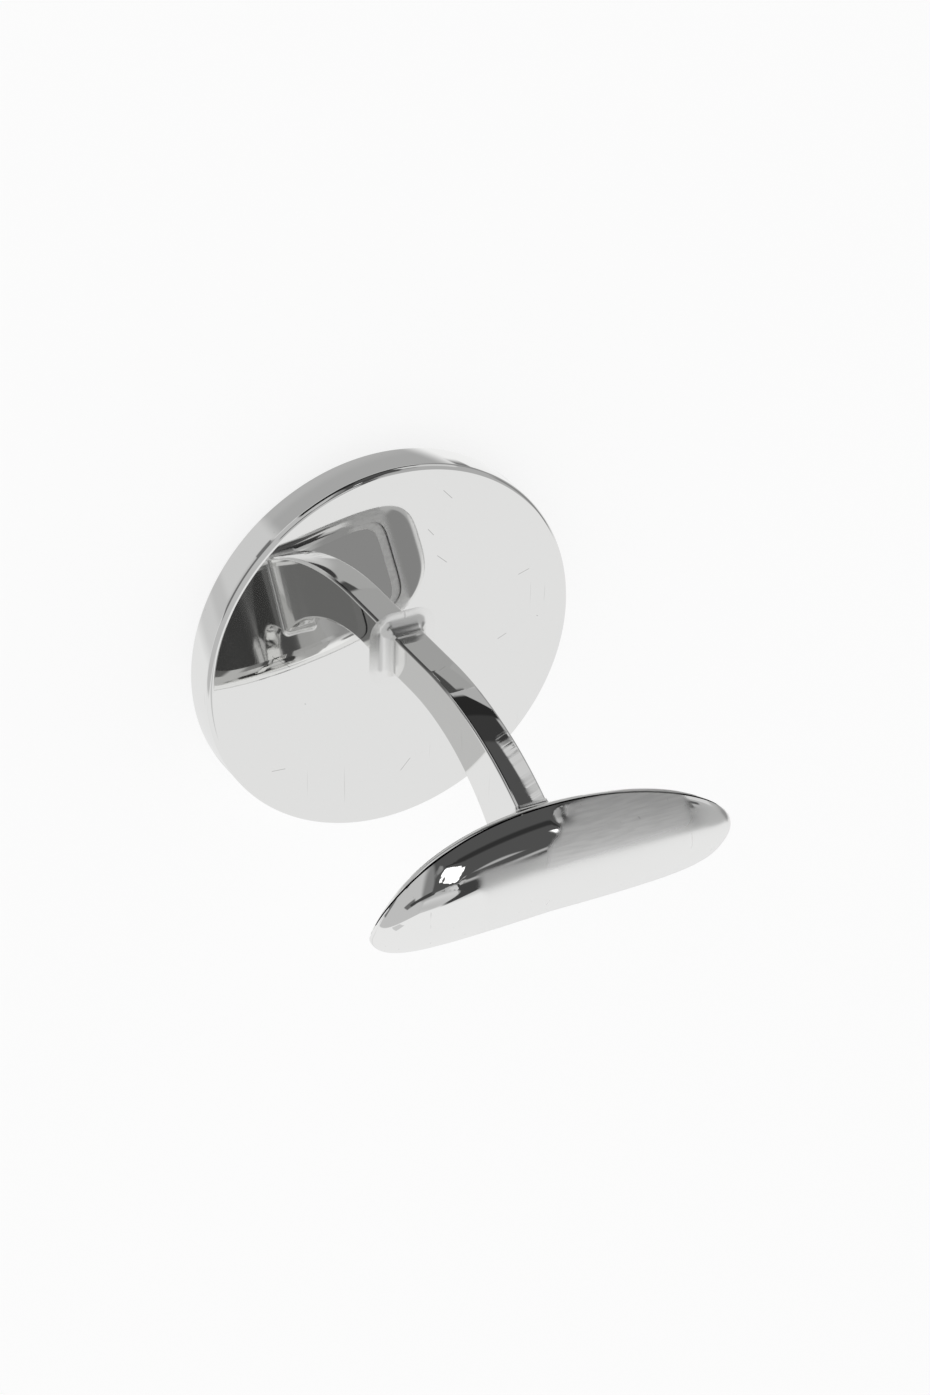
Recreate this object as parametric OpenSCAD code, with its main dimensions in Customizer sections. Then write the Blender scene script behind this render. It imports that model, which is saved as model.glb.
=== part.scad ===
// Fixed-back cufflink: a round head, a flat-sided post that bends and
// flares, and a curved bean-shaped foot soldered square on the post's end.
// The head rests on its front face at z = 0 with its centre at the origin.
// The post bends towards +X and the foot's length runs along Y.

/* [Head] */
// Diameter of the round head
head_diameter = 18; // [12:0.2:24]
// Thickness of the flat face disc at the front
face_thickness = 1; // [0.6:0.05:2]
// Thickness of the solder film under and around the face disc
film_thickness = 0.1; // [0.05:0.01:0.2]
// Depth at which that film stops short of the front, as a fine seam
seam_depth = 0.15; // [0.05:0.05:0.4]
// Thickness of the cup's back plate
back_thickness = 0.8; // [0.4:0.05:1.5]
// Thickness of the cup's side wall
wall_thickness = 0.8; // [0.5:0.05:2]
// Radius of the cup's rounded back edge
back_edge_radius = 0.26; // [0.1:0.02:0.4]
// Radius of the cup's rounded front edge
front_edge_radius = 0.15; // [0.05:0.05:0.3]
// Radius of the broken edge round the face disc
face_edge_radius = 0.08; // [0.02:0.02:0.2]

/* [Post] */
// Thickness of the post between its two flat sides
post_thickness = 1.48; // [1:0.04:2.2]
// Width of the post where it leaves the head
post_width = 1.9; // [1.2:0.05:2.6]
// Height from the head's back to the middle of the foot's plate
post_height = 10.7; // [10.2:0.1:11.4]
// Distance of the post to the side of the head's centre
post_side_shift = 0.5; // [-1:0.1:1]
// Height at which the outer edge starts to bend
outer_bend_start = 3.5; // [3:0.1:4.5]
// Radius of the outer edge's bend
outer_bend_radius = 16; // [14:0.5:19]
// Height at which the inner edge starts to bend
inner_bend_start = 2.2; // [1.6:0.1:2.8]
// Radius of the inner edge's bend
inner_bend_radius = 10.3; // [9.5:0.1:12]
// Bevel along the post's four corners
post_bevel = 0.14; // [0.04:0.02:0.3]
// Radius of the round spigot at the post's base
spigot_radius = 0.55; // [0.3:0.05:0.9]
// Depth that the post's end is let into the foot
post_seat_depth = 0.35; // [0.1:0.05:0.45]

/* [Solder] */
// Width of the solder fillet out over the head's back
head_fillet_width = 0.85; // [0.3:0.05:1.6]
// Height of the solder fillet up the post at the head
head_fillet_height = 0.7; // [0.3:0.05:1.6]
// Width of the solder fillet out over the foot's plate
foot_fillet_width = 0.12; // [0.08:0.02:0.3]
// Height of the solder fillet along the post at the foot
foot_fillet_height = 0.25; // [0.2:0.05:0.6]
// Thickness of a fillet where it runs out against the post
fillet_edge_thickness = 0.05; // [0.03:0.01:0.1]

/* [Foot] */
// Length of the foot
foot_length = 16.4; // [13:0.2:20]
// Width of the foot
foot_width = 5.7; // [5:0.1:8]
// Height of the foot's dome above its widest line
dome_height = 3.35; // [1.5:0.05:4.5]
// Fullness of the foot's outline, where two is an ellipse
outline_fullness = 3.1; // [2:0.1:4]
// Fullness of the plate's outline, where two is an ellipse
plate_fullness = 6; // [4:0.5:10]
// Fullness of the dome along the foot's length, where two is an ellipse
dome_fullness = 1.8; // [1.7:0.05:3]
// Radius of the curve that bends both ends away from the head
foot_curve_radius = 15.8; // [14:0.2:40]
// Radius of the curve that sweeps both ends against the post's bend
foot_sweep_radius = 64; // [40:1:200]
// Tilt of the foot, square to the end of the post
foot_tilt = 33; // [28:1:38]
// Turn of the foot about the end of the post
foot_turn = 2.6; // [-4:0.2:6]
// Roll of the foot, which lifts one end from the head
foot_roll = 1.8; // [-3:0.2:3]
// Skew of the foot's long sides against its ends
foot_skew = 4.6; // [-6:0.2:6]
// Distance of the foot's middle from the head's centre, along the bend
foot_offset = 3.45; // [3.2:0.05:3.7]
// Distance of the foot to the side of the head's centre
foot_side_shift = 0.9; // [-1:0.1:1]
// Height of the foot's widest line above its flat plate
border_height = 0.4; // [0.3:0.05:0.8]
// Width of the border along the foot's sides, from outline to plate
border_width = 0.8; // [0.5:0.05:0.95]
// Length of the border at the foot's two ends, from outline to plate
border_end_length = 3; // [1.4:0.1:3.4]
// Height of the border's crest over the plate
border_rise = 0.06; // [0.02:0.01:0.12]
// Thickness of the plate set into the border
plate_thickness = 0.5; // [0.46:0.02:0.6]
// Radius of the sink mark left in the dome by the soldering
sink_radius = 0.6; // [0.3:0.05:0.8]
// Depth of that sink mark
sink_depth = 0.14; // [0.05:0.01:0.2]
// Angle of the sink mark round the dome, from its top against the bend
sink_angle = 60; // [40:1:70]
// Distance of the sink mark from the foot's middle, along its length
sink_side_shift = -0.3; // [-2:0.1:2]

/* [Hidden] */

$fn = 128;
overrun = 0.5;

head_radius = head_diameter / 2;
recess_radius = head_radius - wall_thickness;
recess_depth = face_thickness + film_thickness;
head_depth = recess_depth + back_thickness;

outer_x = -post_width / 2;
inner_x = post_width / 2;
outer_centre = [outer_x + outer_bend_radius, head_depth + outer_bend_start];
inner_centre = [inner_x + inner_bend_radius, head_depth + inner_bend_start];
foot_centre = [foot_offset, head_depth + post_height];
along_foot_width = [cos(foot_tilt), -sin(foot_tilt)];
out_of_foot = [sin(foot_tilt), cos(foot_tilt)];
far_reach = outer_bend_radius + post_height;

sink_sphere_radius = (sink_radius * sink_radius + sink_depth * sink_depth)
    / (2 * sink_depth);

// Place of a bend's edge across the foot, at depth w out from the plate
function edge_at(centre, radius, w) =
    let (d = foot_centre + w * out_of_foot - centre, m = d * along_foot_width)
    -m - sqrt(m * m - d * d + radius * radius);

// Rise of a curve of radius r at distance y from its middle
function rise_at(r, y) = r - sqrt(r * r - y * y);

// Points of an oval of a given fullness, long in Y, with half sizes a along Y
// and b along X, skewed, swept and lifted to height w above the foot's curve
oval_count = 96;
function oval(a, b, w, fullness) = [for (i = [0:oval_count - 1])
    let (t = 360 * i / oval_count, e = 2 / fullness,
         y = a * sign(sin(t)) * pow(abs(sin(t)), e))
    [b * sign(cos(t)) * pow(abs(cos(t)), e)
        - y * tan(foot_skew) - rise_at(foot_sweep_radius, y),
     y, w + rise_at(foot_curve_radius, y)]];

// Points of a rounded box that stands reach outside x0 to x1 and y0 to y1
corner_count = 12;
function round_box(x0, x1, y0, y1, reach, z) =
    [for (q = [0:3], i = [0:corner_count])
    let (t = 90 * (q + i / corner_count),
         cx = (q == 0 || q == 3) ? x1 : x0,
         cy = q < 2 ? y1 : y0)
    [cx + reach * cos(t), cy + reach * sin(t), z]];

// Closed skin through rings of points that all have the same count
module loft(rings) {
    n = len(rings[0]);
    m = len(rings);
    polyhedron(
        points = [for (r = rings, p = r) p],
        faces = concat(
            [for (i = [1:n - 2]) [0, i, i + 1]],
            [for (k = [0:m - 2], i = [0:n - 1])
                [k * n + i, (k + 1) * n + i, (k + 1) * n + (i + 1) % n]],
            [for (k = [0:m - 2], i = [0:n - 1])
                [k * n + i, (k + 1) * n + (i + 1) % n, k * n + (i + 1) % n]],
            [for (i = [1:n - 2])
                [(m - 1) * n, (m - 1) * n + i + 1, (m - 1) * n + i]]));
}

// Places things drawn about the middle of the foot's plate
module at_foot() {
    translate([foot_centre[0], foot_side_shift, foot_centre[1]])
        rotate([0, foot_tilt, 0])
            children();
}

// Turns and rolls the foot's own pieces about the post's end
module turned_foot() {
    at_foot()
        rotate([0, 0, foot_turn])
            rotate([foot_roll, 0, 0])
                children();
}

// Everything on the inside of the post's outer edge, with bevelled corners
module outer_form() {
    h = post_thickness / 2;
    c = post_bevel;
    r = outer_bend_radius;
    translate([outer_x, 0, head_depth])
        linear_extrude(outer_bend_start)
            polygon([[c, -h], [far_reach, -h], [far_reach, h], [c, h],
                [0, h - c], [0, c - h]]);
    intersection() {
        translate([outer_centre[0], 0, outer_centre[1]])
            rotate([90, 0, 0])
                rotate_extrude()
                    polygon([[0, -h], [r - c, -h], [r, c - h],
                        [r, h - c], [r - c, h], [0, h]]);
        translate([outer_x, -post_thickness, outer_centre[1]])
            cube([far_reach, 2 * post_thickness, far_reach]);
    }
}

// Everything beyond the post's inner edge, cut away with bevelled corners
module inner_form() {
    h = post_thickness / 2;
    c = post_bevel;
    r = inner_bend_radius;
    s = c + overrun;
    translate([inner_x, 0, head_depth - overrun])
        linear_extrude(inner_bend_start + overrun)
            polygon([[0, c - h], [-s, -h - overrun], [far_reach, -h - overrun],
                [far_reach, h + overrun], [-s, h + overrun], [0, h - c]]);
    translate([inner_centre[0], 0, inner_centre[1]])
        rotate([90, 0, 0])
            rotate_extrude()
                polygon([[0, -h - overrun], [r + s, -h - overrun],
                    [r, c - h], [r, h - c],
                    [r + s, h + overrun], [0, h + overrun]]);
}

// The post's bar, from the head's back to its end let into the foot
module post_bar() {
    intersection() {
        translate([0, post_side_shift, 0])
            difference() {
                outer_form();
                inner_form();
            }
        at_foot()
            translate([-foot_width, -foot_width, post_seat_depth - 2 * far_reach])
                cube([2 * foot_width, 2 * foot_width, 2 * far_reach]);
    }
}

// Plain polished disc that shows at the front
module face_disc() {
    r = recess_radius - film_thickness;
    color([0.78, 0.78, 0.77])
        rotate_extrude()
            difference() {
                square([r, face_thickness]);
                translate([r - face_edge_radius, face_edge_radius])
                    mirror([0, 1])
                        round_corner(face_edge_radius);
            }
}

// Solder film that holds the face disc, under it and round it
module face_film() {
    color([0.6, 0.6, 0.58])
        rotate_extrude()
            union() {
                translate([0, face_thickness])
                    square([recess_radius, film_thickness]);
                translate([recess_radius - film_thickness, seam_depth])
                    square([film_thickness, recess_depth - seam_depth]);
            }
}

// Corner of a revolved profile that is cut away to leave it round
module round_corner(r) {
    difference() {
        square([r + overrun, r + overrun]);
        circle(r);
    }
}

// Cup: side wall and back plate, with a hole for the post's spigot
module head_cup() {
    color([0.8, 0.8, 0.79])
        difference() {
            rotate_extrude()
                difference() {
                    square([head_radius, head_depth]);
                    translate([0, -overrun])
                        square([recess_radius, recess_depth + overrun]);
                    translate([head_radius - back_edge_radius,
                        head_depth - back_edge_radius])
                        round_corner(back_edge_radius);
                    translate([head_radius - front_edge_radius,
                        front_edge_radius])
                        mirror([0, 1])
                            round_corner(front_edge_radius);
                }
            translate([0, post_side_shift, recess_depth - overrun])
                cylinder(r = spigot_radius, h = back_thickness + 2 * overrun);
        }
}

// Smooth round solder fillet between the head's back and the post
module head_solder() {
    levels = 10;
    h = post_thickness / 2 - post_bevel;
    color([0.82, 0.82, 0.81])
        difference() {
            loft([for (k = [0:levels])
                let (u = k / levels,
                     reach = post_bevel + fillet_edge_thickness
                         + head_fillet_width * (1 - sqrt(1 - pow(1 - u, 2))))
                round_box(outer_x + post_bevel, inner_x - post_bevel,
                    post_side_shift - h, post_side_shift + h, reach,
                    head_depth + u * head_fillet_height)]);
            post_bar();
        }
}

// Flat-sided post that bends over and flares, with its spigot
module curved_post() {
    color([0.76, 0.76, 0.75]) {
        post_bar();
        translate([0, post_side_shift, recess_depth])
            cylinder(r = spigot_radius, h = back_thickness + head_fillet_height);
    }
}

// Outline of the plate inside the foot's border
module plate_outline() {
    a = foot_length / 2 - border_end_length;
    b = foot_width / 2 - border_width;
    polygon([for (p = oval(a, b, 0, plate_fullness)) [p[0], p[1]]]);
}

// Drum whose underside is the foot's curve, sunk by depth
module curve_drum(depth) {
    translate([0, 0, foot_curve_radius])
        rotate([0, 90, 0])
            cylinder(r = foot_curve_radius - depth, h = 2 * foot_width,
                center = true, $fn = 360);
}

// Curved plate set into the foot's border, with the pocket for the post
module foot_plate() {
    color([0.74, 0.74, 0.73])
        difference() {
            turned_foot()
                difference() {
                    intersection() {
                        translate([0, 0, -plate_thickness])
                            linear_extrude(plate_thickness + dome_height)
                                plate_outline();
                        curve_drum(0);
                    }
                    curve_drum(plate_thickness);
                }
            post_bar();
        }
}

// Outside of the foot: raised border, rounded edge and outer dome
module foot_skin() {
    steps = 6;
    dome_steps = 14;
    crest_share = 0.8;
    a = foot_length / 2;
    b = foot_width / 2;
    ac = border_end_length * crest_share;
    bc = border_width * crest_share;
    turned_foot()
        loft(concat(
            [for (w = [plate_thickness / 2, 0])
                oval(a - border_end_length, b - border_width, w, plate_fullness)],
            [for (k = [0:steps])
                let (t = 90 * k / steps, inset = 1 - sin(t))
                oval(a - ac * inset, b - bc * inset,
                    border_height - (border_height + border_rise) * cos(t),
                    outline_fullness + (plate_fullness - outline_fullness) * inset)],
            [for (k = [1:dome_steps])
                let (t = 89 * k / dome_steps, u = sin(t))
                oval(a * pow(1 - pow(u, dome_fullness), 1 / dome_fullness),
                    b * cos(t), border_height + dome_height * u,
                    outline_fullness)]));
}

// Outer shell of the foot, with its pockets and the sink mark
module foot_shell() {
    color([0.72, 0.72, 0.71])
        difference() {
            foot_skin();
            turned_foot() {
                difference() {
                    translate([0, 0, -overrun])
                        linear_extrude(overrun + dome_height)
                            plate_outline();
                    curve_drum(plate_thickness);
                }
                translate([-foot_width / 2 * sin(sink_angle), sink_side_shift,
                    border_height + dome_height * cos(sink_angle)])
                    rotate([0, -sink_angle, 0])
                        translate([0, 0, sink_sphere_radius - sink_depth])
                            sphere(sink_sphere_radius);
            }
            post_bar();
        }
}

// Small solder fillet between the post and the foot
module foot_solder() {
    levels = 8;
    h = post_thickness / 2 - post_bevel;
    y0 = post_side_shift - foot_side_shift;
    color([0.8, 0.8, 0.79])
        difference() {
            at_foot()
                loft([for (k = [0:levels + 1])
                    let (u = min(k / levels, 1),
                         w = k > levels ? plate_thickness / 2
                             : foot_fillet_height * (u - 1),
                         reach = post_bevel + fillet_edge_thickness
                             + foot_fillet_width * (1 - sqrt(1 - u * u)))
                    round_box(edge_at(outer_centre, outer_bend_radius, w) + post_bevel,
                        edge_at(inner_centre, inner_bend_radius, w) - post_bevel,
                        y0 - h, y0 + h, reach, w)]);
            post_bar();
            foot_skin();
            turned_foot()
                curve_drum(0);
        }
}

face_disc();
face_film();
head_cup();
head_solder();
curved_post();
foot_plate();
foot_solder();
foot_shell();
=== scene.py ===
import math

import bmesh
import bpy
from mathutils import Matrix, Vector


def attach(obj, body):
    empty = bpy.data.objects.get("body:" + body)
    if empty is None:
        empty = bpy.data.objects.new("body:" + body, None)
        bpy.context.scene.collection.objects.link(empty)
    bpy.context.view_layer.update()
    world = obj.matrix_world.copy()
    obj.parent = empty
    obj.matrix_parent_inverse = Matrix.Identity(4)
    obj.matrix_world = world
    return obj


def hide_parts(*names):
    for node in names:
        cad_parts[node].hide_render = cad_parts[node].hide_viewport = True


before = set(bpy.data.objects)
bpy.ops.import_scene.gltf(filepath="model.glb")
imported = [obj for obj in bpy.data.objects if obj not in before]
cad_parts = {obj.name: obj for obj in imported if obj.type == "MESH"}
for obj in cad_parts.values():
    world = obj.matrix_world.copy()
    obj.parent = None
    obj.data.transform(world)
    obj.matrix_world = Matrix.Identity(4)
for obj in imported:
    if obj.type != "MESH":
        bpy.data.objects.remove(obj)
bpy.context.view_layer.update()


# Head cup
# The head's cup is stamped from silver-tone sheet: a straight side wall and a flat back.
# Its back edge is rounded over, its front holds the face disc, and all of it is polished
# to a mirror.

mm = 0.001
head_radius = 9 * mm
head_depth = 1.9 * mm
wall_thickness = 0.8 * mm
recess_depth = 1.1 * mm
back_edge_radius = 0.26 * mm
back_edge_steps = 8
front_edge_radius = 0.15 * mm
front_edge_steps = 5
round_sides = 256
round_profile = 0.5
same_place = 0.01 * mm
facing = 0.9
smooth_angle = 30
flat_weight = 100


def begin(mode="VERT"):
    """Open the new piece for editing, with its place already in its mesh."""
    bpy.ops.object.transform_apply(location=True, rotation=True, scale=True)
    bpy.ops.object.mode_set(mode="EDIT")
    bpy.ops.mesh.select_mode(type=mode)
    bpy.ops.mesh.select_all(action="DESELECT")


def pick(piece, kind, test):
    """Select in edit mode the verts, edges or faces that pass the test, and no others."""
    form = bmesh.from_edit_mesh(piece.data)
    for parts in (form.faces, form.edges, form.verts):
        for part in parts:
            part.select_set(False)
    for part in getattr(form, kind):
        if test(part):
            part.select_set(True)
    if kind == "verts":
        form.select_flush(True)
    bmesh.update_edit_mesh(piece.data)


def round_off(radius, steps):
    """Round the picked edges over."""
    bpy.ops.mesh.bevel(offset=radius, segments=steps, profile=round_profile)


def polish_up(piece, angle=smooth_angle, weighted=True):
    """Close the edit, set the normals right and leave the flats truly flat."""
    bpy.ops.mesh.select_all(action="SELECT")
    bpy.ops.mesh.normals_make_consistent(inside=False)
    bpy.ops.object.mode_set(mode="OBJECT")
    bpy.ops.object.shade_smooth_by_angle(angle=math.radians(angle))
    if weighted:
        even = piece.modifiers.new("even", "WEIGHTED_NORMAL")
        even.keep_sharp = True
        even.weight = flat_weight
        bpy.ops.object.modifier_apply(modifier=even.name)


bpy.ops.object.select_all(action="DESELECT")
bpy.ops.mesh.primitive_cylinder_add(vertices=round_sides, radius=head_radius,
                                    depth=head_depth, location=(0, 0, head_depth / 2))
cup = bpy.context.object
cup.name = "polished_cup"
begin("FACE")
pick(cup, "faces", lambda face: face.normal.z < -facing)
bpy.ops.mesh.inset(thickness=wall_thickness)
bpy.ops.mesh.extrude_region_move(TRANSFORM_OT_translate={"value": (0, 0, recess_depth)})
bpy.ops.mesh.select_mode(type="EDGE")


def on_rim(height):
    """Make the test for the edges of the head's outer circle at one height."""
    def test(edge):
        return all(abs(end.co.z - height) < same_place
                   and end.co.xy.length > head_radius - same_place
                   for end in edge.verts)
    return test


pick(cup, "edges", on_rim(head_depth))
round_off(back_edge_radius, back_edge_steps)
pick(cup, "edges", on_rim(0))
round_off(front_edge_radius, front_edge_steps)
polish_up(cup)


def add(tree, kind, **settings):
    """Add one node and give it its settings by name."""
    node = tree.nodes.new(kind)
    for name, value in settings.items():
        setattr(node, name, value)
    return node


def feed(tree, value, socket):
    """Link a socket to another, or write there what is a plain number or colour."""
    if isinstance(value, bpy.types.NodeSocket):
        tree.links.new(value, socket)
    else:
        socket.default_value = value


def maths(tree, operation, *values):
    """Add one sum of sockets and numbers."""
    node = add(tree, "ShaderNodeMath", operation=operation)
    for value, socket in zip(values, node.inputs):
        feed(tree, value, socket)
    return node.outputs[0]


def step_up(tree, value, low, high):
    """Rise smoothly from 0 to 1 while the value goes from low to high."""
    node = add(tree, "ShaderNodeMapRange", interpolation_type="SMOOTHSTEP")
    tree.links.new(value, node.inputs["Value"])
    node.inputs["From Min"].default_value = low
    node.inputs["From Max"].default_value = high
    return node.outputs["Result"]


def blend(tree, share, colour, other):
    """Mix one colour towards another by a share. Sockets 6, 7 and 2 hold the colours."""
    node = add(tree, "ShaderNodeMix", data_type="RGBA")
    tree.links.new(share, node.inputs["Factor"])
    feed(tree, colour, node.inputs[6])
    feed(tree, other, node.inputs[7])
    return node.outputs[2]


def noise(tree, place, scale, detail):
    """Add one noise over a place, and give its value."""
    node = add(tree, "ShaderNodeTexNoise")
    tree.links.new(place, node.inputs["Vector"])
    feed(tree, scale, node.inputs["Scale"])
    node.inputs["Detail"].default_value = detail
    return node.outputs["Fac"]


def place_on_piece(tree):
    """Give the place of each point of the surface, in metres."""
    return add(tree, "ShaderNodeTexCoord").outputs["Object"]


def split(tree, place):
    """Give the x, y and z of a place."""
    node = add(tree, "ShaderNodeSeparateXYZ")
    tree.links.new(place, node.inputs[0])
    return node.outputs["X"], node.outputs["Y"], node.outputs["Z"]


def start_group(name, inputs, outputs):
    """Start one node group, and give it with the sockets of its two ends."""
    group = bpy.data.node_groups.new(name, "ShaderNodeTree")
    for way, labels in (("INPUT", inputs), ("OUTPUT", outputs)):
        for label in labels:
            kind = "NodeSocketColor" if label == "Colour" else "NodeSocketFloat"
            group.interface.new_socket(label, in_out=way, socket_type=kind)
    return (group, add(group, "NodeGroupInput").outputs,
            add(group, "NodeGroupOutput").inputs)


# Wear of every polished piece: soft waves left by the wheel, a haze, stray hairlines.
wave_detail = 2
noise_middle = 0.5
haze_swing = 0.02
hairline_angles = (25, -50)
hairline_tilt = (0.2, 0.1)
hairline_scale = 240
hairline_detail = 0
hairline_stretch = 26
hairline_peaks = (0.83, 0.9)
hairline_share = 0.25
hairline_haze = 0.3
hairline_dark = (0.45, 0.45, 0.44, 1)
polish, wear_in, wear_out = start_group(
    "polish wear", ("Colour", "Haze", "Wave scale", "Wave height", "Extra height"),
    ("Colour", "Roughness", "Height"))
place = place_on_piece(polish)
waves = noise(polish, place, wear_in["Wave scale"], wave_detail)
hairlines = 0
for angle in hairline_angles:
    turned = add(polish, "ShaderNodeMapping")
    turned.inputs["Rotation"].default_value = (*hairline_tilt, math.radians(angle))
    turned.inputs["Scale"].default_value = (1, hairline_stretch, hairline_stretch)
    polish.links.new(place, turned.inputs["Vector"])
    lines = noise(polish, turned.outputs["Vector"], hairline_scale, hairline_detail)
    hairlines = maths(polish, "MAXIMUM", hairlines, step_up(polish, lines, *hairline_peaks))
hairlines = maths(polish, "MULTIPLY", hairlines, hairline_share)
polish.links.new(blend(polish, hairlines, wear_in["Colour"], hairline_dark),
                 wear_out["Colour"])
haze = maths(polish, "MULTIPLY_ADD", waves, haze_swing, wear_in["Haze"])
polish.links.new(maths(polish, "MULTIPLY_ADD", hairlines, hairline_haze, haze),
                 wear_out["Roughness"])
height = maths(polish, "MULTIPLY", wear_in["Wave height"],
               maths(polish, "SUBTRACT", waves, noise_middle))
polish.links.new(maths(polish, "ADD", height, wear_in["Extra height"]), wear_out["Height"])


def polished_metal(name, colour, haze, wave_scale, wave_height):
    """Make one polished metal, whose node "wear" also takes more haze and height."""
    metal = bpy.data.materials.new(name)
    metal.use_nodes = True
    tree = metal.node_tree
    shader = tree.nodes["Principled BSDF"]
    shader.inputs["Metallic"].default_value = 1
    wear = add(tree, "ShaderNodeGroup", node_tree=polish, name="wear")
    wear.inputs["Colour"].default_value = colour
    wear.inputs["Haze"].default_value = haze
    wear.inputs["Wave scale"].default_value = wave_scale
    wear.inputs["Wave height"].default_value = wave_height
    bump = add(tree, "ShaderNodeBump")
    bump.inputs["Distance"].default_value = 1
    tree.links.new(wear.outputs["Height"], bump.inputs["Height"])
    tree.links.new(bump.outputs["Normal"], shader.inputs["Normal"])
    tree.links.new(wear.outputs["Colour"], shader.inputs["Base Color"])
    tree.links.new(wear.outputs["Roughness"], shader.inputs["Roughness"])
    return metal


def finish_piece(piece, metal, node):
    """Give a piece its metal and put it in the place of its plain node."""
    piece.data.materials.append(metal)
    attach(piece, "root")
    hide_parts(node)


# Single scratches and pits on the head's back, each by middle, angle and length.
silver = (0.9, 0.9, 0.892, 1)
mirror_haze = 0.012
scratch_colour = (0.5, 0.5, 0.49, 1)
scratch_half_width = 0.028 * mm
scratch_edge = 0.03 * mm
scratches = (
    (-7.2 * mm, 2.6 * mm, 42, 0.7 * mm),
    (-5.5 * mm, 1.8 * mm, 39, 0.5 * mm),
    (-4 * mm, 2.4 * mm, 47, 0.7 * mm),
    (-2.3 * mm, 6.6 * mm, 107, 0.6 * mm),
    (0.2 * mm, 7.4 * mm, 48, 0.12 * mm),
    (1.7 * mm, -4.3 * mm, 37, 0.1 * mm),
    (6.3 * mm, 0.8 * mm, 138, 0.75 * mm),
    (4.8 * mm, -5.6 * mm, 86, 0.7 * mm),
    (-0.8 * mm, -5.5 * mm, 48, 1.2 * mm),
    (0.8 * mm, 5.6 * mm, 113, 0.5 * mm),
)
scratch, scratch_in, scratch_out = start_group(
    "scratch", ("Colour", "Middle x", "Middle y", "Turn", "Half length"), ("Colour",))
back_x, back_y, _ = split(scratch, place_on_piece(scratch))
gap_x = maths(scratch, "SUBTRACT", back_x, scratch_in["Middle x"])
gap_y = maths(scratch, "SUBTRACT", back_y, scratch_in["Middle y"])
cosine = maths(scratch, "COSINE", scratch_in["Turn"])
sine = maths(scratch, "SINE", scratch_in["Turn"])
along = maths(scratch, "ADD", maths(scratch, "MULTIPLY", gap_x, cosine),
              maths(scratch, "MULTIPLY", gap_y, sine))
across = maths(scratch, "SUBTRACT", maths(scratch, "MULTIPLY", gap_y, cosine),
               maths(scratch, "MULTIPLY", gap_x, sine))
covers = []
for reach, gap in ((scratch_in["Half length"], along), (scratch_half_width, across)):
    inside = maths(scratch, "SUBTRACT", reach, maths(scratch, "ABSOLUTE", gap))
    covers.append(step_up(scratch, inside, 0, scratch_edge))
scratch.links.new(blend(scratch, maths(scratch, "MULTIPLY", *covers),
                        scratch_in["Colour"], scratch_colour), scratch_out["Colour"])

cup_metal = polished_metal("mirror-polished head", silver, haze=mirror_haze,
                           wave_scale=180, wave_height=1.2e-6)
tree = cup_metal.node_tree
marked = tree.nodes["wear"].inputs["Colour"]
for middle_x, middle_y, angle, length in scratches:
    mark = add(tree, "ShaderNodeGroup", node_tree=scratch)
    mark.inputs["Colour"].default_value = silver
    mark.inputs["Middle x"].default_value = middle_x
    mark.inputs["Middle y"].default_value = middle_y
    mark.inputs["Turn"].default_value = math.radians(angle)
    mark.inputs["Half length"].default_value = length / 2
    tree.links.new(mark.outputs["Colour"], marked)
    marked = mark.inputs["Colour"]
finish_piece(cup, cup_metal, "head_cup")


# Face disc
# The head's front is a plain round disc, let into the cup and held by a thin film of
# solder. Its edge is broken lightly, so that a fine seam shows round it.

face_radius = 8.1 * mm
face_thickness = 1 * mm
face_edge_radius = 0.08 * mm
face_edge_steps = 4

bpy.ops.object.select_all(action="DESELECT")
bpy.ops.mesh.primitive_cylinder_add(vertices=round_sides, radius=face_radius,
                                    depth=face_thickness,
                                    location=(0, 0, face_thickness / 2))
face = bpy.context.object
face.name = "polished_face"
begin("EDGE")
pick(face, "edges", lambda edge: all(end.co.z < same_place for end in edge.verts))
round_off(face_edge_radius, face_edge_steps)
polish_up(face)

face_metal = polished_metal("mirror-polished face", silver, haze=0.02, wave_scale=220,
                            wave_height=1.5e-6)
finish_piece(face, face_metal, "face_disc")


# Solder film
# The thin film of solder between the face disc and the cup is dull and shows only as the
# seam's floor. Its plain node has the right form and gets its own grainy metal.

dull_solder = (0.55, 0.55, 0.54, 1)

film_metal = polished_metal("dull solder film", dull_solder, haze=0.45, wave_scale=4000,
                            wave_height=6e-6)
film = bpy.data.objects["face_film"]
film.data.materials.clear()
film.data.materials.append(film_metal)


# Curved post
# The post is one flat-sided bar that leaves the head straight, bends to one side and
# flares to the foot. It is sawn from plate, bevelled along its four corners and polished.

post_thickness = 1.48 * mm
post_width = 1.9 * mm
post_side_shift = 0.5 * mm
outer_bend_start = 3.5 * mm
outer_bend_radius = 16 * mm
outer_bend_angle = 46
inner_bend_start = 2.2 * mm
inner_bend_radius = 10.3 * mm
inner_bend_angle = 62
bend_steps = 36
post_bevel = 0.14 * mm
post_bevel_steps = 3
post_smooth_angle = 35
post_root = 0.3 * mm
post_seat_depth = 0.35 * mm
same_edge = 0.1 * mm
cut_gap = 0.001 * mm
facing_fully = 0.99
foot_place = Vector((3.45 * mm, 0.9 * mm, 12.6 * mm))
foot_tilt = math.radians(33)
foot_out = Vector((math.sin(foot_tilt), 0, math.cos(foot_tilt)))
outer_edge = (-1, outer_bend_start, outer_bend_radius)
inner_edge = (1, inner_bend_start, inner_bend_radius)


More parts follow.
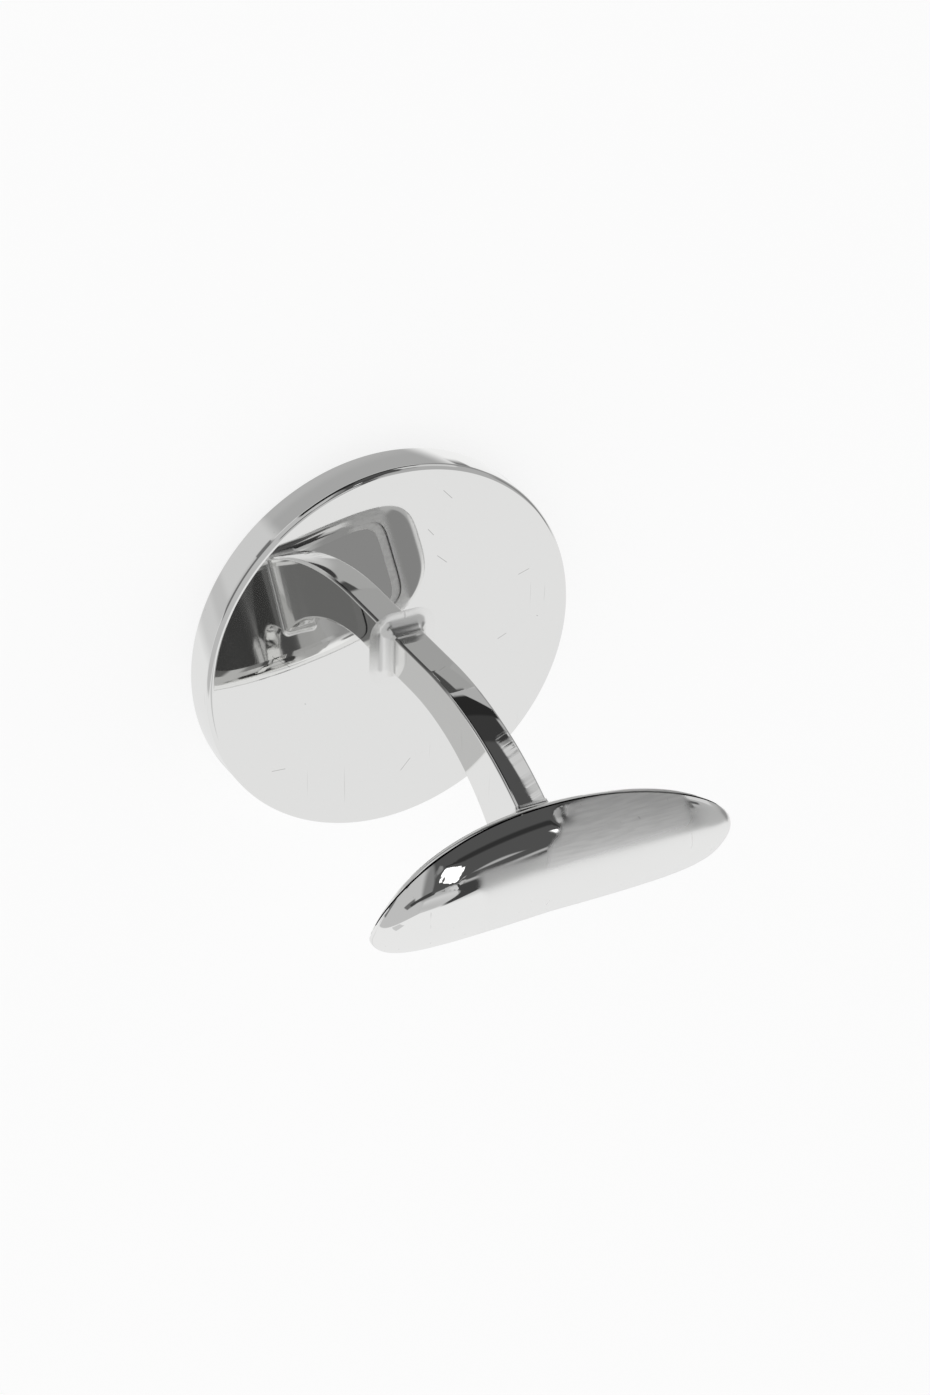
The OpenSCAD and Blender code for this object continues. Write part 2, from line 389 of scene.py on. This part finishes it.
def post_edge(side, start, radius, sweep, step):
    """Point of the post's outer (side -1) or inner (side 1) edge at one step."""
    base = Vector((side * post_width / 2, 0, head_depth))
    if step == 0:
        return base
    turn = math.radians(sweep) * (step - 1) / (bend_steps - 1)
    across = radius * (1 - math.cos(turn))
    return base + Vector((across, 0, start + radius * math.sin(turn)))


bpy.ops.object.select_all(action="DESELECT")
bpy.ops.mesh.primitive_cube_add(size=1, scale=(post_width, post_thickness, post_root),
                                location=(0, post_side_shift, head_depth - post_root / 2))
post = bpy.context.object
post.name = "polished_post"
begin()
pick(post, "verts", lambda vert: vert.co.z > head_depth - same_place)
outer_now = post_edge(*outer_edge, outer_bend_angle, 0)
inner_now = post_edge(*inner_edge, inner_bend_angle, 0)
for step in range(1, bend_steps + 1):
    outer_next = post_edge(*outer_edge, outer_bend_angle, step)
    inner_next = post_edge(*inner_edge, inner_bend_angle, step)
    inner_move = inner_next - inner_now
    bpy.ops.mesh.extrude_region_move(TRANSFORM_OT_translate={"value": inner_move})
    form = bmesh.from_edit_mesh(post.data)
    end = [vert for vert in form.verts if vert.select]
    for vert in end:
        vert.select_set((vert.co - inner_next).xz.length > same_edge)
    form.select_flush(False)
    bmesh.update_edit_mesh(post.data)
    bpy.ops.transform.translate(value=outer_next - outer_now - inner_move)
    form = bmesh.from_edit_mesh(post.data)
    for vert in end:
        vert.select_set(True)
    form.select_flush(True)
    bmesh.update_edit_mesh(post.data)
    outer_now, inner_now = outer_next, inner_next
bpy.ops.mesh.select_all(action="SELECT")
bpy.ops.mesh.bisect(plane_co=foot_place + post_seat_depth * foot_out, plane_no=foot_out,
                    clear_outer=True, use_fill=True, threshold=cut_gap)
bpy.ops.mesh.select_mode(type="EDGE")


def on_long_corner(edge):
    """Test for the edges of the post's four long corners."""
    on_flat = [abs(side.normal.y) > facing for side in edge.link_faces]
    on_end = [side.normal.dot(foot_out) > facing_fully or side.normal.z < -facing_fully
              for side in edge.link_faces]
    return sum(on_flat) == 1 and not any(on_end)


pick(post, "edges", on_long_corner)
round_off(post_bevel, post_bevel_steps)
polish_up(post, post_smooth_angle)


def step_down(tree, value, low, high):
    """Fall smoothly from 1 to 0 while the value goes from low to high."""
    return maths(tree, "SUBTRACT", 1, step_up(tree, value, low, high))


def gather(tree, *parts):
    """Make one place of its x, y and z."""
    node = add(tree, "ShaderNodeCombineXYZ")
    for part, socket in zip(parts, node.inputs):
        tree.links.new(part, socket)
    return node.outputs[0]


# Near the foot the outer side keeps marks of the file, which run across it.
file_mark_start = 9.8 * mm
file_mark_full = 10.6 * mm
file_mark_side_start = post_side_shift - 0.2 * mm
file_mark_side_full = post_side_shift + 0.15 * mm
far_side = post_side_shift + post_thickness / 2
file_mark_fade = far_side - 0.08 * mm
file_mark_gone = far_side - 0.02 * mm
file_mark_slant = 0.3
file_mark_angle = math.radians(22)
file_mark_scale = 5200
file_mark_detail = 3
file_mark_stretch = 0.12
file_mark_peaks = (0.42, 0.62)
file_mark_height = 1.2e-6
file_mark_haze = 0.16
file_mark_share = 0.32
file_mark_dark = (0.6, 0.6, 0.595, 1)
post_metal = polished_metal("mirror-polished post", silver, haze=mirror_haze,
                            wave_scale=260, wave_height=1.6e-6)
tree = post_metal.node_tree
wear = tree.nodes["wear"]
side_x, side_y, side_z = split(tree, place_on_piece(tree))
down = maths(tree, "ADD", maths(tree, "MULTIPLY", side_x, math.sin(file_mark_angle)),
             maths(tree, "MULTIPLY", side_z, math.cos(file_mark_angle)))
over = maths(tree, "SUBTRACT", maths(tree, "MULTIPLY", side_x, math.cos(file_mark_angle)),
             maths(tree, "MULTIPLY", side_z, math.sin(file_mark_angle)))
strokes = gather(tree, maths(tree, "MULTIPLY_ADD", side_y, file_mark_slant, down),
                 maths(tree, "MULTIPLY", over, file_mark_stretch))
filed = noise(tree, strokes, file_mark_scale, file_mark_detail)
on_side = maths(tree, "MULTIPLY",
                step_up(tree, side_y, file_mark_side_start, file_mark_side_full),
                step_up(tree, side_z, file_mark_start, file_mark_full))
on_side = maths(tree, "MULTIPLY", on_side,
                step_down(tree, side_y, file_mark_fade, file_mark_gone))
stroke = maths(tree, "MULTIPLY", on_side, step_up(tree, filed, *file_mark_peaks))
tree.links.new(maths(tree, "MULTIPLY", stroke, file_mark_height),
               wear.inputs["Extra height"])
tree.links.new(maths(tree, "MULTIPLY_ADD", stroke, file_mark_haze, mirror_haze),
               wear.inputs["Haze"])
# A thin dark line is painted along one side's corner from the head up: a painted reflection
# of dark surroundings in the corner's bevel.
corner = post_side_shift - post_thickness / 2
line_end = 8.4 * mm
line_fade = line_end - 1.6 * mm
line_near_edge = (corner + 0.004 * mm, corner + 0.03 * mm)
line_far_edge = (corner + 0.1 * mm, corner + 0.14 * mm)
painted_reflection_share = 0.9
painted_reflection_dark = (0.16, 0.16, 0.158, 1)
in_painted_reflection = maths(tree, "MULTIPLY", step_down(tree, side_z, line_fade, line_end),
                maths(tree, "MULTIPLY", step_up(tree, side_y, *line_near_edge),
                      step_down(tree, side_y, *line_far_edge)))
# The metal's colour is darkened along the corner here: painted reflection.
tint = blend(tree, maths(tree, "MULTIPLY", in_painted_reflection, painted_reflection_share), silver, painted_reflection_dark)
tree.links.new(blend(tree, maths(tree, "MULTIPLY", stroke, file_mark_share), tint,
                     file_mark_dark), wear.inputs["Colour"])
finish_piece(post, post_metal, "curved_post")


# Head fillet
# The solder that joins the post to the head's back runs out in one smooth round fillet,
# polished over with the rest. The foot's own smaller fillet is made in the same way.

head_fillet_reach = 0.85 * mm
head_fillet_height = 0.7 * mm
fillet_lip = 0.05 * mm
fillet_levels = 14
fillet_smooth_angle = 60
corner_steps = 12


def rounded_ring(low, high, reach, height):
    """Add one rounded rectangle that stands reach outside the corners low and high."""
    size = (high[0] - low[0] + 2 * reach, high[1] - low[1] + 2 * reach, 1)
    place = ((low[0] + high[0]) / 2, (low[1] + high[1]) / 2, height)
    bpy.ops.mesh.primitive_plane_add(size=1, location=place)
    ring = bpy.context.object
    ring.scale = size
    begin()
    bpy.ops.mesh.select_all(action="SELECT")
    bpy.ops.mesh.bevel(offset=reach, segments=corner_steps, affect="VERTICES",
                       clamp_overlap=False)
    bpy.ops.mesh.select_all(action="SELECT")
    bpy.ops.mesh.delete(type="ONLY_FACE")
    bpy.ops.object.mode_set(mode="OBJECT")
    return ring


def bridge_rings(rings, name):
    """Join the rings into one piece and span each gap between neighbours with faces."""
    bpy.ops.object.select_all(action="DESELECT")
    for ring in rings:
        ring.select_set(True)
    bpy.context.view_layer.objects.active = rings[0]
    bpy.ops.object.join()
    piece = bpy.context.object
    piece.name = name
    bpy.ops.object.mode_set(mode="EDIT")
    bpy.ops.mesh.select_mode(type="EDGE")
    bpy.ops.mesh.select_all(action="SELECT")
    bpy.ops.mesh.bridge_edge_loops()
    return piece


core_x = post_width / 2 - post_bevel
core_y = post_thickness / 2 - post_bevel
core_low = (-core_x, post_side_shift - core_y)
core_high = (core_x, post_side_shift + core_y)
rings = []
for level in range(fillet_levels + 1):
    rise = level / fillet_levels
    sweep = 1 - math.sqrt(1 - (1 - rise) ** 2)
    reach = post_bevel + fillet_lip + head_fillet_reach * sweep
    rings.append(rounded_ring(core_low, core_high, reach,
                              head_depth + rise * head_fillet_height))
rings.append(rounded_ring(core_low, core_high, post_bevel / 2,
                          head_depth + head_fillet_height))
head_fillet = bridge_rings(rings, "polished_head_fillet")
polish_up(head_fillet, fillet_smooth_angle, weighted=False)

solder_metal = polished_metal("polished solder", silver, haze=0.2, wave_scale=900,
                              wave_height=3e-6)
finish_piece(head_fillet, solder_metal, "head_solder")


# Foot plate
# The foot's inner side is closed by a thin plate, bent to the foot's curve and let in
# level with the border round it. The post is soldered on its middle.

foot_length = 16.4 * mm
foot_width = 5.7 * mm
foot_curve_radius = 15.8 * mm
foot_sweep_radius = 64 * mm
foot_turn = math.radians(2.6)
foot_roll = math.radians(1.8)
foot_skew = math.radians(4.6)
outline_fullness = 3.1
outline_steps = 80
plate_fullness = 6
border_width = 0.8 * mm
border_end_length = 3 * mm
plate_thickness = 0.5 * mm
plate_cuts = 48
half_a_side = 50
weld_gap = 0.0001 * mm


def foot_outline(half_width, half_length, height, fullness):
    """Add the foot's oval as one flat face: a rectangle whose corners are swelled.

    Each corner is bevelled over half of both sides, along a superellipse.
    """
    bpy.ops.object.select_all(action="DESELECT")
    bpy.ops.mesh.primitive_plane_add(size=2, location=(0, 0, height))
    oval = bpy.context.object
    oval.scale = (half_width, half_length, 1)
    begin()
    bpy.ops.mesh.select_all(action="SELECT")
    bpy.ops.mesh.bevel(offset_type="PERCENT", offset_pct=half_a_side,
                       segments=outline_steps, profile=2 ** (-2 / fullness),
                       affect="VERTICES")
    bpy.ops.mesh.select_all(action="SELECT")
    bpy.ops.mesh.remove_doubles(threshold=weld_gap)
    return oval


def bend_foot(piece):
    """Bend a finished form so that both ends curve away from the head."""
    for vert in piece.data.vertices:
        rise = foot_curve_radius - math.sqrt(foot_curve_radius ** 2 - vert.co.y ** 2)
        sweep = foot_sweep_radius - math.sqrt(foot_sweep_radius ** 2 - vert.co.y ** 2)
        vert.co += Vector((-sweep - vert.co.y * math.tan(foot_skew), 0, rise))
    piece.data.update()


def seat_on_post(piece, turn, roll):
    """Turn and tilt a form made about the foot's middle, and put it on the post."""
    piece.matrix_world = (Matrix.Translation(foot_place)
                          @ Matrix.Rotation(foot_tilt, 4, "Y")
                          @ Matrix.Rotation(turn, 4, "Z")
                          @ Matrix.Rotation(roll, 4, "X"))
    bpy.ops.object.transform_apply(location=True, rotation=True, scale=True)


panel_half_width = foot_width / 2 - border_width
panel_half_length = foot_length / 2 - border_end_length
plate = foot_outline(panel_half_width, panel_half_length, 0, plate_fullness)
plate.name = "polished_plate"
for cut in range(1, plate_cuts):
    line = (2 * cut / plate_cuts - 1) * panel_half_length
    bpy.ops.mesh.select_all(action="SELECT")
    bpy.ops.mesh.bisect(plane_co=(0, line, 0), plane_no=(0, 1, 0), threshold=cut_gap)
bpy.ops.mesh.select_all(action="SELECT")
bpy.ops.mesh.extrude_region_move(
    TRANSFORM_OT_translate={"value": (0, 0, plate_thickness)})
bpy.ops.mesh.select_all(action="SELECT")
bpy.ops.mesh.normals_make_consistent(inside=False)
bpy.ops.object.mode_set(mode="OBJECT")
bend_foot(plate)
bpy.ops.object.mode_set(mode="EDIT")
polish_up(plate, weighted=False)
seat_on_post(plate, foot_turn, foot_roll)

plate_metal = polished_metal("polished foot plate", silver, haze=0.05, wave_scale=300,
                             wave_height=3e-6)
finish_piece(plate, plate_metal, "foot_plate")


# Foot fillet
# A small fillet of solder runs round the post where its flared end meets the foot's
# plate. It is polished over like the one at the head.

foot_fillet_reach = 0.12 * mm
foot_fillet_height = 0.25 * mm
foot_fillet_levels = 8


def post_edge_at_foot(side, start, radius, out):
    """Place across the foot of one of the post's edges, at a depth out from the plate."""
    centre = Vector((side * post_width / 2 + radius, 0, head_depth + start))
    across = Vector((math.cos(foot_tilt), 0, -math.sin(foot_tilt)))
    gap = Vector((foot_place.x, 0, foot_place.z)) + out * foot_out - centre
    along = gap.dot(across)
    return -along - math.sqrt(along ** 2 - gap.length_squared + radius ** 2)


def foot_ring(reach, out):
    """Add one ring of the fillet that stands reach outside the post, at a depth."""
    shift_y = post_side_shift - foot_place.y
    low = (post_edge_at_foot(*outer_edge, out) + post_bevel, shift_y - core_y)
    high = (post_edge_at_foot(*inner_edge, out) - post_bevel, shift_y + core_y)
    return rounded_ring(low, high, reach, out)


rings = [foot_ring(post_bevel / 2, -foot_fillet_height)]
for level in range(foot_fillet_levels + 1):
    rise = level / foot_fillet_levels
    reach = (post_bevel + fillet_lip
             + foot_fillet_reach * (1 - math.sqrt(1 - rise ** 2)))
    rings.append(foot_ring(reach, foot_fillet_height * (rise - 1)))
foot_fillet = bridge_rings(rings, "polished_foot_fillet")
polish_up(foot_fillet, fillet_smooth_angle, weighted=False)
seat_on_post(foot_fillet, 0, 0)
finish_piece(foot_fillet, solder_metal, "foot_solder")


# Foot shell
# The foot is a thick curved bean that passes through the buttonholes: a pressed shell
# with a rounded border and a full outer dome. Heat from the soldering has left a small
# sink mark in the dome.

border_height = 0.4 * mm
border_rise = 0.06 * mm
border_steps = 8
crest_share = 0.8
dome_height = 3.35 * mm
dome_fullness = 1.8
dome_steps = 60
dome_last_turn = math.radians(89.4)
shell_smooth_angle = 60
sink_radius = 0.6 * mm
sink_depth = 0.14 * mm
sink_angle = math.radians(82)
sink_side_shift = 0.7 * mm

half_length = foot_length / 2
half_width = foot_width / 2
crest_length = border_end_length * crest_share
crest_width = border_width * crest_share
levels = [(panel_half_width, panel_half_length, plate_thickness / 2, plate_fullness),
          (panel_half_width, panel_half_length, 0, plate_fullness)]
for step in range(border_steps + 1):
    turn = math.radians(90) * step / border_steps
    inset = 1 - math.sin(turn)
    levels.append((half_width - crest_width * inset, half_length - crest_length * inset,
                   border_height - (border_height + border_rise) * math.cos(turn),
                   outline_fullness + (plate_fullness - outline_fullness) * inset))
for step in range(1, dome_steps + 1):
    turn = dome_last_turn * step / dome_steps
    rise = math.sin(turn)
    levels.append((half_width * math.cos(turn),
                   half_length * (1 - rise ** dome_fullness) ** (1 / dome_fullness),
                   border_height + dome_height * rise, outline_fullness))
rings = []
for level in levels:
    rings.append(foot_outline(*level))
    bpy.ops.object.mode_set(mode="OBJECT")
for ring in rings[1:-1]:
    form = bmesh.new()
    form.from_mesh(ring.data)
    bmesh.ops.delete(form, geom=form.faces[:], context="FACES_ONLY")
    form.to_mesh(ring.data)
    form.free()
shell = bridge_rings(rings, "polished_shell")
bpy.ops.mesh.select_all(action="SELECT")
bpy.ops.mesh.normals_make_consistent(inside=False)
bpy.ops.mesh.select_mode(type="VERT")
sink_out = Vector((-math.sin(sink_angle), 0, math.cos(sink_angle)))
sink_place = Vector((-half_width * math.sin(sink_angle), sink_side_shift,
                     border_height + dome_height * math.cos(sink_angle)))
form = bmesh.from_edit_mesh(shell.data)
nearest = min(form.verts, key=lambda vert: (vert.co - sink_place).length)
pick(shell, "verts", lambda vert: (vert.co - nearest.co).length < same_place)
bpy.ops.transform.translate(value=-sink_depth * sink_out, use_proportional_edit=True,
                            proportional_edit_falloff="SMOOTH",
                            proportional_size=sink_radius)
sink_vert = nearest.index
bpy.ops.object.mode_set(mode="OBJECT")
bend_foot(shell)
sink_centre = shell.data.vertices[sink_vert].co.copy()

# A small flat left by the polishing wheel catches the lamp whole.
flat_middle = Vector((-2.35 * mm, -4.89 * mm, 1.93 * mm))
flat_radius = 0.5 * mm
nearest = min(shell.data.vertices, key=lambda vert: (vert.co - flat_middle).length)
centre, normal = nearest.co.copy(), nearest.normal.copy()
inside = [vert for vert in shell.data.vertices if (vert.co - centre).length < flat_radius]
heights = [(vert.co - centre).dot(normal) for vert in inside]
level = sum(heights) / len(heights)
for vert, height in zip(inside, heights):
    vert.co -= (height - level) * normal
bpy.ops.object.mode_set(mode="EDIT")
polish_up(shell, shell_smooth_angle, weighted=False)
seat_on_post(shell, foot_turn, foot_roll)


def measure(tree, operation, place, other):
    """Take the way, the share or the distance between a place and another one."""
    node = add(tree, "ShaderNodeVectorMath", operation=operation)
    tree.links.new(place, node.inputs[0])
    node.inputs[1].default_value = other
    return node.outputs


# One half is mirror-polished. From the sink mark on, the other half is finely brushed
# along its length, up to its bright tip. The dome's crest is polished a little softer.
brush_start = 1.48 * mm
brush_slant = 0.86
brush_fade = 0.35 * mm
brush_end = 6 * mm
brush_edge_ragged = 0.8 * mm
brush_edge_scale = 900
brush_edge_detail = 2
brush_low_edge = (0.25 * mm, 0.6 * mm)
brush_high_edge = (2.3 * mm, 3.1 * mm)
brush_roughness = 0.58
brush_scale = 7000
brush_detail = 3
brush_stretch = 0.05
brush_peaks = (0.3, 0.7)
brush_height = 0.9e-6
brush_share = 0.26
brush_light = (0.96, 0.96, 0.952, 1)
brush_dark = (0.6, 0.6, 0.595, 1)
soft_side = -3.75 * mm
soft_start = 1.95 * mm
soft_full = 2.35 * mm
soft_roughness = 0.24
sink_edge = (0.25 * sink_radius, 1.2 * sink_radius)
sink_haze = 0.22
# The sink mark's hollow is darkened in colour: painted shade.
painted_sink_shade_share = 0.5
painted_sink_shade = (0.35, 0.35, 0.345, 1)
shell_metal = polished_metal("polished and brushed foot", silver, haze=mirror_haze,
                             wave_scale=260, wave_height=2e-6)
tree = shell_metal.node_tree
wear = tree.nodes["wear"]
foot_ways = (Matrix.Rotation(foot_tilt, 3, "Y") @ Matrix.Rotation(foot_turn, 3, "Z")
             @ Matrix.Rotation(foot_roll, 3, "X"))
from_post = measure(tree, "SUBTRACT", place_on_piece(tree), foot_place)["Vector"]
across, along, out = [measure(tree, "DOT_PRODUCT", from_post, way)["Value"]
                      for way in foot_ways.col]
grain = gather(tree, across, maths(tree, "MULTIPLY", along, brush_stretch), out)
brushed = noise(tree, grain, brush_scale, brush_detail)
ragged = noise(tree, from_post, brush_edge_scale, brush_edge_detail)
edge = maths(tree, "MULTIPLY_ADD", maths(tree, "SUBTRACT", ragged, noise_middle),
             brush_edge_ragged, along)
share = step_up(tree, maths(tree, "MULTIPLY_ADD", out, brush_slant, edge),
                brush_start - brush_fade, brush_start + brush_fade)
for limit in (step_down(tree, along, brush_end - brush_fade, brush_end + brush_fade),
              step_up(tree, out, *brush_low_edge),
              step_down(tree, out, *brush_high_edge)):
    share = maths(tree, "MULTIPLY", share, limit)
soft = maths(tree, "MULTIPLY",
             step_up(tree, along, soft_side - brush_fade, soft_side + brush_fade),
             step_up(tree, out, soft_start, soft_full))
from_sink = measure(tree, "DISTANCE", from_post, foot_ways @ sink_centre)["Value"]
in_sink = step_down(tree, from_sink, *sink_edge)
rough = maths(tree, "MAXIMUM", maths(tree, "MULTIPLY", share, brush_roughness),
              maths(tree, "MULTIPLY", soft, soft_roughness))
rough = maths(tree, "MAXIMUM", rough, maths(tree, "MULTIPLY", in_sink, sink_haze))
tree.links.new(maths(tree, "ADD", rough, mirror_haze), wear.inputs["Haze"])
grained = maths(tree, "MULTIPLY", share, step_up(tree, brushed, *brush_peaks))
tree.links.new(maths(tree, "MULTIPLY", grained, brush_height),
               wear.inputs["Extra height"])
tint = blend(tree, maths(tree, "MULTIPLY", grained, brush_share), brush_light, brush_dark)
# Painted shade darkens the colour inside the sink mark.
tree.links.new(blend(tree, maths(tree, "MULTIPLY", in_sink, painted_sink_shade_share), tint,
                     painted_sink_shade), wear.inputs["Colour"])
finish_piece(shell, shell_metal, "foot_shell")


# Camera
# The camera looks down on the head's back, and is rolled as the photograph is. Its
# length of view and the picture's height are in pixels.

camera_right = Vector((-0.02797, 0.87697, 0.47974))
camera_up = Vector((-0.84937, 0.2322, -0.47398))
camera_back = Vector((-0.52706, -0.42073, 0.73837))
camera_place = Vector((-91.735, -72.286, 135.418)) * mm
sensor_width = 36
view_length = 4000
view_height = 1395

bpy.ops.object.camera_add()
camera = bpy.context.object
camera.matrix_world = Matrix((
    (camera_right.x, camera_up.x, camera_back.x, camera_place.x),
    (camera_right.y, camera_up.y, camera_back.y, camera_place.y),
    (camera_right.z, camera_up.z, camera_back.z, camera_place.z),
    (0, 0, 0, 1)))
camera.data.sensor_width = sensor_width
camera.data.lens = sensor_width * view_length / view_height
camera.data.clip_start = mm
bpy.context.scene.camera = camera
bpy.context.scene.view_settings.view_transform = "Standard"


# Floor
# The cufflink stands face down on a plain pale floor that runs off to white. The glow is
# for the camera alone, and the polished metal doesn't mirror the floor.

floor_size = 2
floor_glow = 0.78
floor_tone = (0.33, 0.33, 0.33, 1)

bpy.ops.object.select_all(action="DESELECT")
bpy.ops.mesh.primitive_plane_add(size=floor_size)
floor = bpy.context.object
floor.name = "floor"
floor.visible_glossy = False
paper = bpy.data.materials.new("pale floor")
paper.use_nodes = True
tree = paper.node_tree
tree.nodes.clear()
paper_out = add(tree, "ShaderNodeOutputMaterial")
glow = add(tree, "ShaderNodeEmission")
glow.inputs["Strength"].default_value = floor_glow
matt = add(tree, "ShaderNodeBsdfDiffuse")
matt.inputs["Color"].default_value = floor_tone
both = add(tree, "ShaderNodeAddShader")
seen = add(tree, "ShaderNodeLightPath").outputs["Is Camera Ray"]
plain = add(tree, "ShaderNodeMixShader")
tree.links.new(glow.outputs[0], both.inputs[0])
tree.links.new(matt.outputs[0], both.inputs[1])
tree.links.new(seen, plain.inputs[0])
tree.links.new(matt.outputs[0], plain.inputs[1])
tree.links.new(both.outputs[0], plain.inputs[2])
tree.links.new(plain.outputs[0], paper_out.inputs["Surface"])
floor.data.materials.append(paper)


# Studio
# A pale tent surrounds the cufflink, with a lamp window in it and grey and dark cards
# before its walls. The tent is drawn in the world by direction, so that it lies far off.

tent_tone = 0.82
backdrop_tone = 1
half_turn = 180
half_edge = 0.5
card_settings = ("Middle", "Height", "Half width", "Half height", "Lean", "Softness",
                 "Card tone")
# Each row holds one card's settings. All but the lean and the tone are in degrees.
cards = (
    (0, -65, 200, 25, 0, 4, 0.41),
    (0, -90, 200, 35, 0, 6, 0.46),
    (-100, -65, 42, 25, 0, 10, 0.63),
    (-90, -52, 7, 12, 0, 8, 0.55),
    (-15, -65, 47, 26, 0, 14, 0.82),
    (75, -65, 32, 25, 0, 20, 0.93),
    (98, -46, 5, 3, 0, 3, 0.2),
    (-120, 30, 62, 62, 0, 6, 0.52),
    (-38, 48, 14, 12, 0, 3, 0.59),
    (140, 80, 50, 14, 0, 30, 0.5),
    (133, 14, 50, 52, 0, 6, 0.44),
    (-116, -26, 22, 19, 0, 5, 0.17),
    (-131, -44.8, 6, 1.8, 0, 1, 0.17),
    (117, -28, 17, 15, 0, 6, 0.29),
    (92, 1, 15, 14, 0, 8, 0.25),
    (140, -2, 15, 16, 0, 2, 0.64),
    (207, 54, 12, 7, 0, 4, 0.14),
    (178, 32, 7, 30, 0, 6, 0.22),
    (187, 57, 19, 3.5, 0, 2, 0.05),
    (165, 20, 15, 38, -0.2, 2, 0.078),
    (164, 31, 8, 3, 0, 3, 0.03),
    (145.5, 44, 9, 8, 0, 1.5, 0.41),
    (147, 22, 5, 3, 0, 3, 0.1),
    (122, 68.5, 10, 8, -3.7, 3, 0.05),
    (166.5, -28, 25.5, 5, -2.2, 1.5, 0.022),
    (164, -18.5, 22, 5.5, 0, 1.5, 0.042),
    (190, -14, 15, 20, 0, 3, 0.022),
    (167.3, 43.2, 2.3, 2.4, 0, 1, 1.5),
)


def shift(tree, share, value, other):
    """Mix one number towards another by a share."""
    node = add(tree, "ShaderNodeMix", data_type="FLOAT")
    for label, part in (("Factor", share), ("A", value), ("B", other)):
        feed(tree, part, node.inputs[label])
    return node.outputs["Result"]


card, card_in, card_out = start_group(
    "studio card", ("Tone", "Azimuth", "Elevation", *card_settings), ("Tone",))
up_from_middle = maths(card, "SUBTRACT", card_in["Elevation"], card_in["Height"])
aside = maths(card, "SUBTRACT", card_in["Azimuth"], card_in["Middle"])
aside = maths(card, "WRAP", aside, half_turn, -half_turn)
aside = maths(card, "SUBTRACT", aside,
              maths(card, "MULTIPLY", up_from_middle, card_in["Lean"]))
covers = []
for gap, half in ((aside, "Half width"), (up_from_middle, "Half height")):
    inside = maths(card, "SUBTRACT", card_in[half], maths(card, "ABSOLUTE", gap))
    share = maths(card, "DIVIDE", inside, card_in["Softness"])
    covers.append(step_up(card, share, -half_edge, half_edge))
card.links.new(shift(card, maths(card, "MULTIPLY", *covers), card_in["Tone"],
                     card_in["Card tone"]), card_out["Tone"])

studio = bpy.data.worlds.new("studio")
bpy.context.scene.world = studio
studio.use_nodes = True
tree = studio.node_tree
east, north, up = split(tree, add(tree, "ShaderNodeTexCoord").outputs["Generated"])
azimuth = maths(tree, "DEGREES", maths(tree, "ARCTAN2", north, east))
elevation = maths(tree, "DEGREES", maths(tree, "ARCSINE", up))
tone = tent_tone
for values in cards:
    node = add(tree, "ShaderNodeGroup", node_tree=card)
    for label, value in zip(card_settings, values):
        node.inputs[label].default_value = value
    feed(tree, tone, node.inputs["Tone"])
    tree.links.new(azimuth, node.inputs["Azimuth"])
    tree.links.new(elevation, node.inputs["Elevation"])
    tone = node.outputs["Tone"]
seen = add(tree, "ShaderNodeLightPath").outputs["Is Camera Ray"]
tree.links.new(shift(tree, seen, tone, backdrop_tone),
               tree.nodes["Background"].inputs["Color"])
